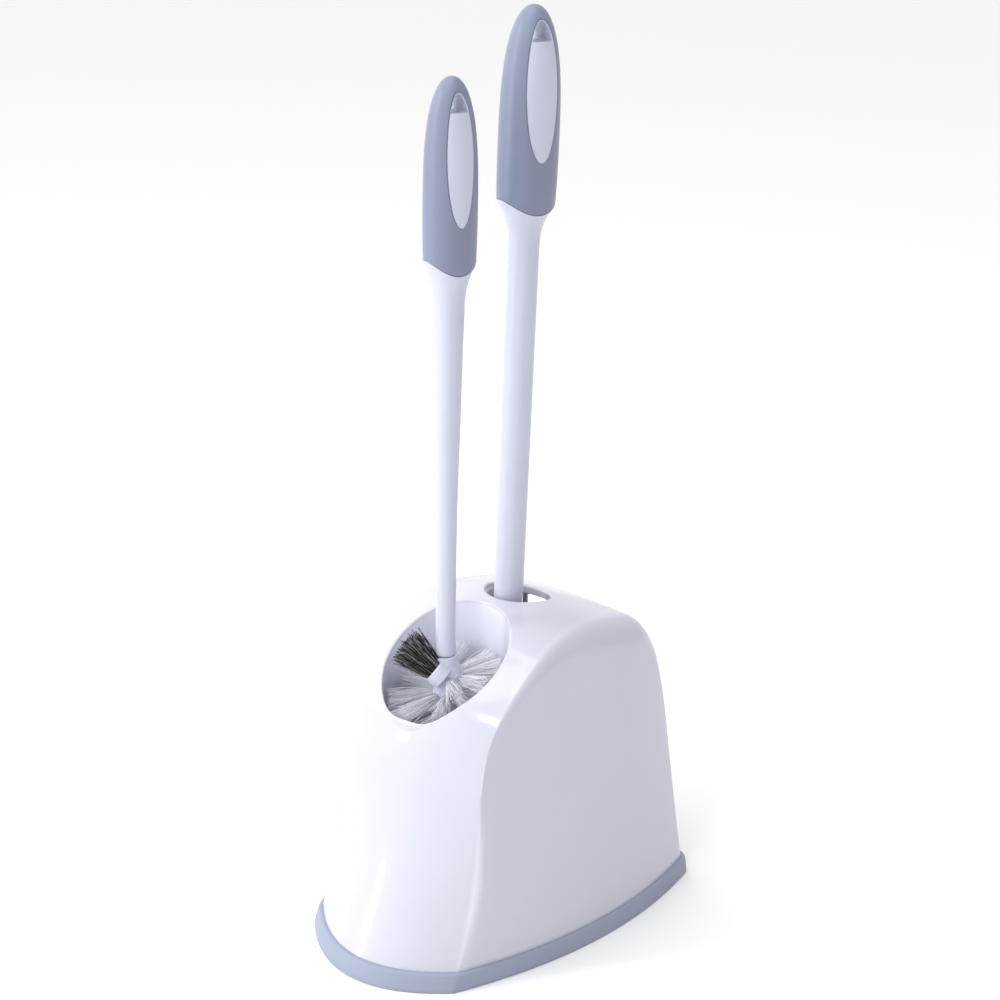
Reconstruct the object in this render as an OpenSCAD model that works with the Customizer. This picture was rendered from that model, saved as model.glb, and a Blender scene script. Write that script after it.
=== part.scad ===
// Toilet brush and plunger caddy set.
// A glossy arched hood stands on a soft foot trim. A cup in its sloping front holds a toilet brush,
// and the ring hole in its top lets a long-handled plunger stand inside, with the back left open.
// Origin: on the floor, in the middle of the set's bounding box. -Y is the brush side, +Z is up.

/* [Caddy hood] */
// Wall thickness of the hood moulding
wall = 2.4; // [1.8:0.1:3.2]
// Half width of the foot at its widest
foot_half_w = 90.2; // [88:0.1:92]
// Where along Y the foot is widest
foot_wide_y = 50; // [44:1:56]
// Height of the lower edge of the hood above the floor
foot_z = 1.5; // [1.2:0.1:2]
// Inward lean of the side walls, mm per mm of height, near the back
side_taper = 0.125; // [0.11:0.005:0.135]

/* [Openings] */
// Distance of the brush opening's axis in front of the middle
well_offset = 36.5; // [35:0.5:38]
// Diameter of the brush opening in the hood
well_d = 78; // [76:1:80]
// Distance of the plunger ring's axis behind the middle
ring_offset = 32.8; // [32:0.2:34]
// Diameter of the plunger ring
ring_d = 42; // [41.5:0.5:44]
// Height of the sill under the open back
sill_h = 26; // [20:1:34]
// Height of the top of the open back
arch_h = 187; // [180:1:188]
// Half width of the open back near the floor
arch_half_w = 62; // [56:1:64]

/* [Brush cup] */
// Height of the cup's inside floor above the ground
cup_floor_z = 88; // [86:1:92]
// Wall and floor thickness of the cup
cup_wall = 2; // [1.6:0.1:2.2]

/* [Foot trim] */
// Height of the trim band
trim_h = 12; // [9:0.5:13]
// How far the trim stands out from the hood
trim_out = 2.8; // [2:0.1:3.4]
// How far the trim's lip reaches in under the hood
trim_lip = 5; // [4:0.5:7]

/* [Plunger] */
// Overall length of the plunger along its handle
plunger_top = 580; // [572:1:586]
// Diameter of the plunger's tube
tube_d = 18.8; // [18:0.1:19.4]
// Where the handle's axis meets the floor
plunger_y = 16.7; // [16:0.1:17.4]
// Backward lean of the handle, in degrees
plunger_lean = 1.81; // [1.6:0.05:2]
// Radius of the rubber cup's lip on the floor
bell_r = 61; // [55:1:62]
// Height of the rubber cup's dome
bell_h = 60; // [54:1:62]

/* [Brush] */
// Height of the top of the brush handle
brush_top = 546; // [538:1:552]
// Diameter of the shaft just above the head
shaft_d = 12.4; // [12:0.1:13]
// Height of the joint between shaft and head
neck_z = 192; // [188:1:195]
// Tilt of the head against the shaft, in degrees
head_tilt = 6; // [4:0.5:7]
// Reach of the white tufts from the cup's axis
tuft_reach = 35.5; // [33:0.5:36.5]

/* [Grips] */
// Turn of both grips about their own axes, in degrees
grip_yaw = -20; // [-26:1:-14]
// Thickness of the soft sleeve
sleeve_t = 1.8; // [1.5:0.1:2.2]

/* [Hidden] */
$fn = 64;
WHITE = [0.93, 0.93, 0.96];
GREY = [0.60, 0.61, 0.70];
RUBBER = [0.20, 0.20, 0.22];
DARK = [0.33, 0.34, 0.37];

well_r = well_d / 2;
ring_r = ring_d / 2;
// the side view of the hood is swept as a fan of slices about this point
pivot = [22.5, foot_z];
// Side view of the hood's edge, from the front foot over the top to the back foot:
// [y, z, half width of the top band, crown of the band, corner rounding]
stations = [
    [ -93.2,   1.5, 58.0, 28.5, 6],
    [ -83.0,  30.0, 57.3, 24.0, 5],
    [ -75.4,  60.0, 57.0, 21.0, 4],
    [ -71.6,  92.0, 57.8, 19.5, 4],
    [ -70.4, 122.0, 58.3, 18.5, 4],
    [ -66.4, 146.5, 58.1, 17.0, 4],
    [ -58.2, 164.2, 57.8, 14.5, 5],
    [ -45.8, 177.6, 56.8, 11.5, 6],
    [ -31.0, 189.2, 55.8,  9.3, 8],
    [ -14.0, 198.4, 54.2,  8.6, 10],
    [   5.0, 204.0, 52.9,  9.0, 13],
    [  27.0, 205.6, 50.8,  8.2, 16],
    [  48.0, 203.2, 47.8,  5.4, 18],
    [  70.0, 198.2, 46.2,  2.8, 20],
    [  90.0, 190.4, 46.8,  1.4, 20],
    [ 102.2, 176.0, 48.9,  1.0, 18],
    [ 107.0, 154.0, 53.4,  0.8, 13],
    [ 109.3, 128.0, 58.8,  0.6, 9],
    [ 112.0,  96.0, 63.6,  0.4, 8],
    [ 115.5,  60.0, 68.0,  0.2, 7],
    [ 118.8,  28.0, 72.6,  0.1, 6],
    [ 121.7,   1.5, 76.0,  0.0, 6]];
n_st = len(stations);

// ---- smooth interpolation through the stations
function chord(i) = i == 0 ? 0 : norm([stations[i][0] - stations[i - 1][0],
                                       stations[i][1] - stations[i - 1][1]]);
function run(i) = i == 0 ? 0 : run(i - 1) + chord(i);
runs = [for (i = [0:n_st - 1]) run(i)];
total = runs[n_st - 1];
function slope(i) = let (a = max(i - 1, 0), b = min(i + 1, n_st - 1))
    (stations[b] - stations[a]) / (runs[b] - runs[a]);
slopes = [for (i = [0:n_st - 1]) slope(i)];
function seg(s, i = 0) = i >= n_st - 2 || runs[i + 1] > s ? i : seg(s, i + 1);
function at_run(s) = let (i = seg(s), h = runs[i + 1] - runs[i], u = (s - runs[i]) / h,
    u2 = u * u, u3 = u2 * u)
    (2 * u3 - 3 * u2 + 1) * stations[i] + (u3 - 2 * u2 + u) * h * slopes[i]
    + (3 * u2 - 2 * u3) * stations[i + 1] + (u3 - u2) * h * slopes[i + 1];

// ---- half width of the side walls at a point of the side view
function smooth01(v) = let (c = min(max(v, 0), 1)) c * c * (3 - 2 * c);
function foot_w(y) = foot_half_w - pow(y - foot_wide_y, 2) / 631;
function side_w(y, z) = foot_w(y) - z * (side_taper - 0.055 + 0.055 * smooth01((y + 80) / 95));

// ---- one slice of the skin, pushed inwards by t
n_side = 5;
n_fil = 4;
n_hood = 8;
function lerp(a, b, k) = a + (b - a) * k;
function slice(s, t) = let (
    q = at_run(s), c0 = [q[0], q[1]], d0 = c0 - pivot, len0 = norm(d0), dir = d0 / len0,
    nx = at_run(min(s + 0.5, total)), pv = at_run(max(s - 0.5, 0)),
    tan = [nx[0] - pv[0], nx[1] - pv[1]], nrm = [-tan[1], tan[0]] / norm(tan),
    cosn = max(nrm * dir, 0.35), rho = len0 - t / cosn, w = q[2] - t,
    r = min(q[4] + 0.001, rho / 2), crown = q[3],
    side = [for (k = [1:n_side]) let (p = pivot + dir * (rho - r) * k / n_side)
        [side_w(p[0], p[1]) - t, p[0], p[1]]],
    fil = [for (k = [1:n_fil]) let (a = 90 * k / n_fil, p = pivot + dir * (rho - r * (1 - sin(a))))
        [w + (side_w(p[0], p[1]) - t - w) * cos(a), p[0], p[1]]],
    hood = [for (k = [1:n_hood - 1]) let (u = 1 - k / n_hood,
        p = pivot + dir * (rho + crown * (1 - u * u))) [w * u, p[0], p[1]]],
    half = concat(side, fil, hood), mid = pivot + dir * (rho + crown))
    concat([for (p = half) [-p[0], p[1], p[2]]], [[0, mid[0], mid[1]]],
           [for (i = [len(half) - 1:-1:0]) half[i]]);

n_slice = 44;
row_len = 2 * (n_side + n_fil + n_hood - 1) + 1;
function skin_pts(t) = concat(
    [[-(side_w(pivot[0], pivot[1]) - t), pivot[0], pivot[1]],
     [side_w(pivot[0], pivot[1]) - t, pivot[0], pivot[1]]],
    [for (i = [0:n_slice]) each slice(total * i / n_slice, t)]);
function vid(i, j) = 2 + i * row_len + j;
skin_faces = concat(
    [for (i = [0:n_slice - 1]) [0, vid(i + 1, 0), vid(i, 0)]],
    [for (i = [0:n_slice - 1], j = [0:row_len - 2])
        each [[vid(i, j), vid(i + 1, j), vid(i + 1, j + 1)],
              [vid(i, j), vid(i + 1, j + 1), vid(i, j + 1)]]],
    [for (i = [0:n_slice - 1]) [1, vid(i, row_len - 1), vid(i + 1, row_len - 1)]]);
// outline of the foot: left pivot, front slice, right pivot, back slice
rim_ids = concat([0], [for (j = [0:row_len - 1]) vid(0, j)], [1],
                 [for (j = [row_len - 1:-1:0]) vid(n_slice, j)]);

module filled_skin(t) {
    polyhedron(points = skin_pts(t),
               faces = concat(skin_faces, [rim_ids]),
               convexity = 6);
}

module hollow_skin() {
    outer = skin_pts(0);
    inner = skin_pts(wall);
    n = len(outer);
    m = len(rim_ids);
    polyhedron(
        points = concat(outer, inner),
        faces = concat(
            skin_faces,
            [for (f = skin_faces) [n + f[2], n + f[1], n + f[0]]],
            [for (k = [0:m - 1]) let (a = rim_ids[k], b = rim_ids[(k + 1) % m]) [a, b, n + b]],
            [for (k = [0:m - 1]) let (a = rim_ids[k], b = rim_ids[(k + 1) % m]) [a, n + b, n + a]]),
        convexity = 10);
}

// Outline of the hood at height z, as a loop that starts at the left pivot and runs round the front.
function find_s(j, z, low, high, n) = let (m = (low + high) / 2)
    n == 0 ? m : (slice(m, 0)[j][2] < z ? find_s(j, z, m, high, n - 1) : find_s(j, z, low, m, n - 1));
function outline(z) = let (
    pw = side_w(pivot[0], z),
    front = [for (j = [0:row_len - 1]) z <= foot_z ? slice(0, 0)[j]
        : slice(find_s(j, z, 0, total / 2, 12), 0)[j]],
    back = [for (j = [row_len - 1:-1:0]) z <= foot_z ? slice(total, 0)[j]
        : slice(find_s(j, z, total, total / 2, 12), 0)[j]])
    [for (p = concat([[-pw, pivot[0], z]], front, [[pw, pivot[0], z]], back)) [p[0], p[1]]];
function out_dir(c, i) = let (m = len(c), d = c[(i + 1) % m] - c[(i + m - 1) % m])
    [d[1], -d[0]] / -norm(d);
function grown(c, g, z) = [for (i = [0:len(c) - 1]) let (p = c[i] - g * out_dir(c, i)) [p[0], p[1], z]];

// ---- caddy
module caddy_shell() {
    color(WHITE)
    difference() {
        hollow_skin();
        // brush opening
        translate([0, -well_offset, 120]) cylinder(r = well_r, h = 110, $fn = 96);
        // plunger ring
        translate([0, ring_offset, 150]) cylinder(r = ring_r, h = 80, $fn = 72);
        // open back
        translate([0, 160, 0]) rotate([90, 0, 0]) linear_extrude(height = 70) back_outline();
    }
}

// half widths of the open back near its top and above its middle, and the height of its top bend
arch_top_w = 48;
arch_mid_w = 52;
arch_bend = 14;
module back_outline() {
    top = [for (k = [0:12]) let (a = 180 * k / 12)
        [arch_top_w * cos(a), arch_h - arch_bend + arch_bend * sin(a)]];
    polygon(concat([[arch_half_w, sill_h], [arch_mid_w, arch_h - 40]], top,
                   [[-arch_mid_w, arch_h - 40], [-arch_half_w, sill_h]]));
}

module brush_well() {
    color(WHITE)
    difference() {
        intersection() {
            translate([0, -well_offset, cup_floor_z - cup_wall])
                cylinder(r = well_r + 0.2 + cup_wall, h = 130, $fn = 96);
            filled_skin(wall - 0.15);
        }
        translate([0, -well_offset, cup_floor_z]) cylinder(r = well_r + 0.2, h = 140, $fn = 96);
    }
}

module base_trim() {
    foot = outline(foot_z);
    top = outline(trim_h);
    rings = [grown(foot, trim_out, 0), grown(foot, trim_out + 0.2, 2.5),
             grown(top, trim_out + 0.2, trim_h - 1), grown(top, trim_out - 0.6, trim_h),
             grown(top, 0.15, trim_h), grown(foot, 0.15, foot_z),
             grown(foot, -trim_lip, foot_z), grown(foot, -trim_lip, 0)];
    m = len(foot);
    color(GREY)
    polyhedron(points = [for (q = rings) each q],
               faces = flip(concat(tube_faces(len(rings), m),
                   [for (j = [0:m - 1]) let (k = (j + 1) % m, a = (len(rings) - 1) * m)
                       each [[a + j, a + k, k], [a + j, k, j]]])),
               convexity = 10);
}

// ---- grips and handles
// a grip form: [bottom of flare, bottom of sleeve, middle, top, half thickness, half width, shaft radius]
n_ring = 16;
n_around = 32;
wave = 4;
function wave_z(a) = -wave * cos(2 * a);
function swell(z, g, t) = let (top = g[3] - t, mid = g[2])
    z > mid ? pow(max(1 - pow((z - mid) / (top - mid), 3.2), 0), 1 / 2.2)
            : 1 - 0.035 * pow((mid - z) / (mid - g[1]), 2);
function ring_pt(a, z, g, t) = let (k = swell(z, g, t))
    [(g[4] - t) * k * cos(a), (g[5] - t) * k * sin(a), z];
// heights of the rings get closer towards the top
function ring_h(v) = 1 - pow(1 - v, 1.9);
function sleeve_ring(i, g, t) = [for (j = [0:n_around - 1]) let (a = 360 * j / n_around,
    z0 = g[1] + wave_z(a), z = lerp(z0, g[3] - t - 0.02, ring_h(i / n_ring))) ring_pt(a, z, g, t)];
function flare_ring(i, n, g) = [for (j = [0:n_around - 1]) let (a = 360 * j / n_around,
    z1 = g[1] + wave_z(a), v = i / n, z = lerp(g[0], z1, v), e = ring_pt(a, z1, g, 0),
    k = pow(v, 2.6)) [lerp(g[6] * cos(a), e[0], k), lerp(g[6] * sin(a), e[1], k), z]];

function tube_faces(rows, m) = [for (i = [0:rows - 2], j = [0:m - 1]) let (k = (j + 1) % m)
    each [[i * m + j, i * m + k, (i + 1) * m + k], [i * m + j, (i + 1) * m + k, (i + 1) * m + j]]];
function flip(f) = [for (q = f) [for (i = [len(q) - 1:-1:0]) q[i]]];

// closed solid through a list of rings
module ring_solid(rings) {
    m = len(rings[0]);
    r = len(rings);
    polyhedron(points = [for (q = rings) each q],
               faces = flip(concat([[for (j = [m - 1:-1:0]) j]], tube_faces(r, m),
                                   [[for (j = [0:m - 1]) (r - 1) * m + j]])),
               convexity = 8);
}

// soft sleeve: outer skin up, over the top, inner skin down
module sleeve(g) {
    rings = concat([for (i = [0:n_ring]) sleeve_ring(i, g, 0)],
                   [for (i = [n_ring:-1:0]) sleeve_ring(i, g, sleeve_t)]);
    m = n_around;
    r = len(rings);
    polyhedron(points = [for (q = rings) each q],
               faces = flip(concat(tube_faces(r, m),
                   [for (j = [0:m - 1]) let (k = (j + 1) % m)
                       each [[(r - 1) * m + j, (r - 1) * m + k, k], [(r - 1) * m + j, k, j]]])),
               convexity = 10);
}

// oval of the window in the sleeve, seen along its normal: [half width, half height, centre z]
function oval(o, s = 0, n = 40) = [for (k = [0:n - 1]) let (a = 360 * k / n)
    [(o[0] + s) * cos(a), o[2] + (o[1] + s) * sin(a)]];
module along_normal(h) {
    rotate([90, 0, 90]) translate([0, 0, -h / 2]) linear_extrude(height = h) children();
}
// the hang hole takes the upper end of the oval above height hz
module hang_outline(o, hz, s) {
    intersection() {
        polygon(oval(o, s));
        translate([-20, hz]) square([40, 60]);
    }
}

module grip_core(g, o, hz) {
    difference() {
        union() {
            ring_solid(concat([for (i = [0:7]) flare_ring(i, 7, g)],
                              [for (i = [0:n_ring]) sleeve_ring(i, g, sleeve_t)]));
            intersection() {
                ring_solid([for (i = [0:n_ring]) sleeve_ring(i, g, 0.4)]);
                along_normal(60) polygon(oval(o, -0.3));
            }
        }
        along_normal(70) hang_outline(o, hz, -0.3);
    }
}

module grip_sleeve(g, o) {
    difference() {
        sleeve(g);
        along_normal(70) polygon(oval(o));
    }
}

// ---- plunger
plunger_form = [436, 463, 492, plunger_top, 16.6, 18.8, tube_d / 2 + 0.15];
plunger_oval = [10.4, 41, 531];
plunger_hang = 559.5;
socket_z = 58;
module plunger_place() {
    translate([0, plunger_y, 0]) rotate([-plunger_lean, 0, 0]) children();
}

module plunger_handle() {
    color(WHITE)
    plunger_place() {
        translate([0, 0, socket_z]) cylinder(d = tube_d, h = 388);
        rotate([0, 0, grip_yaw]) grip_core(plunger_form, plunger_oval, plunger_hang);
    }
}

module plunger_grip() {
    color(GREY)
    plunger_place() rotate([0, 0, grip_yaw]) grip_sleeve(plunger_form, plunger_oval);
}

module plunger_cup() {
    color(RUBBER)
    translate([0, plunger_y, 0])
    difference() {
        union() {
            // dome, lip and the bead on the floor
            rotate_extrude($fn = 96) polygon(concat(
                [[0, bell_h], [0, bell_h - 5]],
                [for (k = [0:10]) let (a = 90 - 9 * k) [(bell_r - 6) * cos(a), 8 + (bell_h - 13) * sin(a)]],
                [[bell_r - 6, 0], [bell_r, 0], [bell_r, 4]],
                [for (k = [10:-1:0]) let (a = 90 - 9 * k) [(bell_r - 2) * cos(a), 8 + (bell_h - 8) * sin(a)]]));
            // socket for the handle
            translate([0, 0, bell_h - 8]) cylinder(r1 = 19, r2 = 14.5, h = 24);
            translate([0, 0, bell_h + 16]) cylinder(r = 15.5, h = 4);
        }
        rotate([-plunger_lean, 0, 0]) translate([0, 0, socket_z]) cylinder(d = tube_d, h = 60);
    }
}

// ---- brush
brush_form = [408, 438, 466, brush_top, 14.4, 16.3, 9.15];
brush_oval = [8.5, 38, 500];
brush_hang = 526.5;
// how deep the handle's end sits in the hub
spigot = 5;
module brush_place() {
    translate([0, -well_offset - 1, 0]) children();
}

module brush_handle() {
    color(WHITE)
    brush_place() {
        rotate_extrude() polygon([
            [0, neck_z - spigot], [4, neck_z - spigot], [4, neck_z], [shaft_d / 2 + 0.4, neck_z],
            [shaft_d / 2 + 0.4, neck_z + 6], [shaft_d / 2, neck_z + 10], [shaft_d / 2, 262],
            [6.6, 300], [7.4, 335], [8.0, 363], [8.5, 390], [9, 407], [9, 416], [0, 416]]);
        rotate([0, 0, grip_yaw]) grip_core(brush_form, brush_oval, brush_hang);
    }
}

module brush_grip() {
    color(GREY)
    brush_place() rotate([0, 0, grip_yaw]) grip_sleeve(brush_form, brush_oval);
}

// The head hangs below the neck. Its axis leans towards tilt_dir.
tilt_dir = 39;
module head_place() {
    brush_place() translate([0, 0, neck_z]) rotate([0, 0, tilt_dir]) rotate([0, -head_tilt, 0]) children();
}
hub_r = 9.5;
hub_len = 70;
// Tuft rows: [depth below the neck, count, lift angle, turn]
rows_upper = [[16, 9, 4, 0], [26, 9, -3, 20]];
rows_middle = [[36, 9, -4, 0], [46, 9, -8, 20]];
rows_lower = [[56, 9, -14, 0], [63, 7, -34, 10]];
// radius of a tuft at its root and at its tips
tuft_r0 = 2.2;
tuft_r1 = 3.6;
// radius at which the tufts are rooted inside the hub
root_r = 7.3;
// side socket for the dark tuft: angle about the axis, depth, lift, and how far it sits off the axis
rim_turn = 165;
rim_depth = 14;
rim_lift = 42;
rim_off = 7;
rim_r = 6.2;
rim_start = 3;
// middle of the gap that the upper row leaves for it
rim_gap = 210;

function clear_of_rim(a, row) = !(row[0] < 20 && abs(a - rim_gap) < 62);
function tuft_len(a, row) = let (
    tip_depth = row[0] - tuft_reach * tan(row[2]),
    reach = tuft_reach - tuft_r1 * abs(sin(row[2])) - tip_depth * sin(head_tilt) * cos(a))
    reach / cos(row[2]);
module each_tuft(rows) {
    for (row = rows) for (i = [0:row[1] - 1]) {
        a = 360 * i / row[1] + row[3];
        if (clear_of_rim(a, row))
            rotate([0, 0, a]) translate([0, 0, -row[0]]) rotate([0, 90 - row[2], 0])
                tuft_or_hole(tuft_len(a, row), $sink);
    }
}
module tuft_or_hole(len, sink) {
    if (sink) translate([0, 0, root_r]) cylinder(r = tuft_r0, h = 9, $fn = 24);
    else translate([0, 0, root_r]) {
        cylinder(r = tuft_r0, h = 4, $fn = 24);
        translate([0, 0, 4]) cylinder(r1 = tuft_r0, r2 = tuft_r1, h = len - 4 - root_r, $fn = 24);
    }
}
module rim_place() {
    head_place() translate([0, 0, -rim_depth]) rotate([0, 0, rim_turn]) rotate([0, 90 - rim_lift, 0])
        translate([0, rim_off, 0]) children();
}

module brush_hub() {
    color(WHITE)
    difference() {
        union() {
            head_place() rotate_extrude(convexity = 4) polygon(concat(
                [[0, -2], [7.6, -2], [7.6, -6], [8.4, -8.5]],
                [[hub_r, -14], [hub_r, -hub_len + 9]],
                [for (k = [1:5]) let (a = 18 * k) [hub_r * cos(a), -hub_len + 9 - 9 * sin(a)]]));
            rim_place() cylinder(r1 = 7.5, r2 = 8.2, h = 8);
        }
        head_place() {
            each_tuft(rows_upper, $sink = true);
            each_tuft(rows_middle, $sink = true);
            each_tuft(rows_lower, $sink = true);
        }
        rim_place() translate([0, 0, rim_start]) cylinder(r = rim_r, h = 20);
        brush_place() translate([0, 0, neck_z - spigot]) cylinder(r = 4, h = spigot + 2);
        brush_place() translate([0, 0, neck_z]) cylinder(r = 20, h = 20);
    }
}

module tufts_lower() {
    color(WHITE) head_place() each_tuft(rows_lower, $sink = false);
}
module tufts_middle() {
    color(WHITE) head_place() each_tuft(rows_middle, $sink = false);
}
module tufts_upper() {
    color(WHITE) head_place() each_tuft(rows_upper, $sink = false);
}
module rim_tuft() {
    color(DARK)
    rim_place() translate([0, 0, rim_start]) {
        cylinder(r = rim_r, h = 9);
        translate([0, 0, 9]) cylinder(r1 = rim_r, r2 = 9.6, h = 22);
    }
}

plunger_handle();
plunger_grip();
plunger_cup();
caddy_shell();
brush_well();
base_trim();
brush_handle();
brush_grip();
brush_hub();
tufts_lower();
tufts_middle();
tufts_upper();
rim_tuft();
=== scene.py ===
"""Looks of the toilet brush and plunger caddy set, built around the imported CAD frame."""

import math

import bpy
import numpy as np
from mathutils import Matrix, Vector


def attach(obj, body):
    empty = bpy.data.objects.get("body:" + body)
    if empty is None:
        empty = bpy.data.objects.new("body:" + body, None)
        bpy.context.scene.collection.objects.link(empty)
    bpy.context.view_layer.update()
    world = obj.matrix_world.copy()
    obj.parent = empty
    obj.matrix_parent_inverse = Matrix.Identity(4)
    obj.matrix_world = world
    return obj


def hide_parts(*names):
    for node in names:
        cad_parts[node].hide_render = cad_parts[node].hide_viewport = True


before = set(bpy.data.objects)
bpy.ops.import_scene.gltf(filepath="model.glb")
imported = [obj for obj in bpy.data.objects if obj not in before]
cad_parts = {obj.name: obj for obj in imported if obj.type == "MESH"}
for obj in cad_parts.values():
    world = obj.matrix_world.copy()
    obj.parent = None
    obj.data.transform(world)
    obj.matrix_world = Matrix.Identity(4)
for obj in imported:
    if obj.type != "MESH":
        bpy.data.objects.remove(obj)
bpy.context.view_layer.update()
MM = 0.001
# edges sharper than this are shaded as corners
SMOOTH_DEG = 40
# radius of a turned ring where it reaches the axis
LEAST_R = 0.01
rng = np.random.default_rng(20)


# ------------------------------------------------------------------ mesh helpers
def make(name, verts, faces, smooth_deg=SMOOTH_DEG):
    """A smooth shaded mesh object from points in millimetres."""
    mesh = bpy.data.meshes.new(name)
    mesh.from_pydata((np.asarray(verts, float) * MM).tolist(), [], [list(f) for f in faces])
    mesh.validate()
    shade(mesh, smooth_deg)
    obj = bpy.data.objects.new(name, mesh)
    bpy.context.scene.collection.objects.link(obj)
    return obj


def shade(mesh, smooth_deg):
    mesh.polygons.foreach_set("use_smooth", [True] * len(mesh.polygons))
    mesh.set_sharp_from_angle(angle=math.radians(smooth_deg))
    mesh.update()


def loft(rings, closed=False):
    """Points and outward faces of a solid through rings of the same size.

    closed joins the last ring to the first; otherwise both ends get a cap.
    """
    rings = np.asarray(rings, float)
    n, m = rings.shape[:2]
    faces = []
    for i in range(n if closed else n - 1):
        a, b = i * m, (i + 1) % n * m
        faces += [(a + j, a + (j + 1) % m, b + (j + 1) % m, b + j) for j in range(m)]
    if not closed:
        faces.append(tuple(range(m - 1, -1, -1)))
        faces.append(tuple((n - 1) * m + j for j in range(m)))
    return rings.reshape(-1, 3), faces


def turned(profile, m=96):
    """Rings of a turned part: profile is a list of (radius, height)."""
    a = np.arange(m) * 2 * math.pi / m
    round_line = np.c_[np.cos(a), np.sin(a)]
    return [np.c_[max(r, LEAST_R) * round_line, np.full(m, z)] for r, z in profile]


def joined(parts):
    """One set of points and faces out of several."""
    verts, faces, base = [], [], 0
    for v, f in parts:
        verts.append(np.asarray(v, float))
        faces += [tuple(base + i for i in q) for q in f]
        base += len(v)
    return np.concatenate(verts), faces


def outward(verts, faces):
    """The same solid with its faces turned so that its volume is positive."""
    v = np.asarray(verts, float)
    volume = 0.0
    for f in faces:
        for k in range(1, len(f) - 1):
            volume += np.dot(v[f[0]], np.cross(v[f[k]], v[f[k + 1]]))
    return (v, faces) if volume > 0 else (v, [f[::-1] for f in faces])


def boolean(obj, cutter, operation="DIFFERENCE"):
    """Applies a boolean with a cutter, which is deleted afterwards."""
    mod = obj.modifiers.new("cut", "BOOLEAN")
    mod.operation = operation
    mod.object = cutter
    mod.solver = "MANIFOLD"
    graph = bpy.context.evaluated_depsgraph_get()
    mesh = bpy.data.meshes.new_from_object(obj.evaluated_get(graph))
    obj.modifiers.clear()
    obj.data = mesh
    bpy.data.objects.remove(cutter)
    shade(mesh, SMOOTH_DEG)


def merged(name, objs):
    """Joins the meshes of several objects into a new one and deletes them."""
    parts = []
    for o in objs:
        co = np.array([v.co for v in o.data.vertices]) / MM
        parts.append((co, [tuple(p.vertices) for p in o.data.polygons]))
        bpy.data.objects.remove(o)
    return make(name, *joined(parts))


def unit(v):
    return v / np.maximum(np.linalg.norm(v, axis=-1, keepdims=True), 1e-9)


# ------------------------------------------------------------------ hood of the caddy
WALL = 2.4
# the slices of the hood fan out round this point (y, z)
PIVOT = np.array([22.5, 1.5])
# along the middle of the hood from the front foot over the top to the back foot:
# y, z, half width, crown, corner radius
STATIONS = np.array([
    [-93.2, 1.5, 58.0, 28.5, 6], [-83, 30, 57.3, 24, 5], [-75.4, 60, 57, 21, 4],
    [-71.6, 92, 57.8, 19.5, 4], [-70.4, 122, 58.3, 18.5, 4], [-66.4, 146.5, 58.1, 17, 4],
    [-58.2, 164.2, 57.8, 14.5, 5], [-45.8, 177.6, 56.8, 11.5, 6], [-31, 189.2, 55.8, 9.3, 8],
    [-14, 198.4, 54.2, 8.6, 10], [5, 204, 52.9, 9, 13], [27, 205.6, 50.8, 8.2, 16],
    [48, 203.2, 47.8, 5.4, 18], [70, 198.2, 46.2, 2.8, 20], [90, 190.4, 46.8, 1.4, 20],
    [102.2, 176, 48.9, 1, 18], [107, 154, 53.4, 0.8, 13], [109.3, 128, 58.8, 0.6, 9],
    [112, 96, 63.6, 0.4, 8], [115.5, 60, 68, 0.2, 7], [118.8, 28, 72.6, 0.1, 6],
    [121.7, 1.5, 76, 0, 6]])
RUN = np.r_[0, np.cumsum(np.linalg.norm(np.diff(STATIONS[:, :2], axis=0), axis=1))]
TOTAL = RUN[-1]
LOW = np.maximum(np.arange(len(RUN)) - 1, 0)
HIGH = np.minimum(np.arange(len(RUN)) + 1, len(RUN) - 1)
SLOPES = (STATIONS[HIGH] - STATIONS[LOW]) / (RUN[HIGH] - RUN[LOW])[:, None]


def at_run(s):
    """Smooth station values (y, z, half width, crown, corner) at path length s."""
    s = np.atleast_1d(s)
    i = np.clip(np.searchsorted(RUN, s, side="right") - 1, 0, len(RUN) - 2)
    h = (RUN[i + 1] - RUN[i])[:, None]
    u = (s - RUN[i])[:, None] / h
    return ((2 * u**3 - 3 * u**2 + 1) * STATIONS[i] + (u**3 - 2 * u**2 + u) * h * SLOPES[i]
            + (3 * u**2 - 2 * u**3) * STATIONS[i + 1] + (u**3 - u**2) * h * SLOPES[i + 1])


def side_w(y, z):
    """Half width of the flat side walls."""
    c = np.clip((y + 80) / 95, 0, 1)
    lean = 0.07 + 0.055 * c * c * (3 - 2 * c)
    return 90.2 - (y - 50) ** 2 / 631 - z * lean


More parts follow.
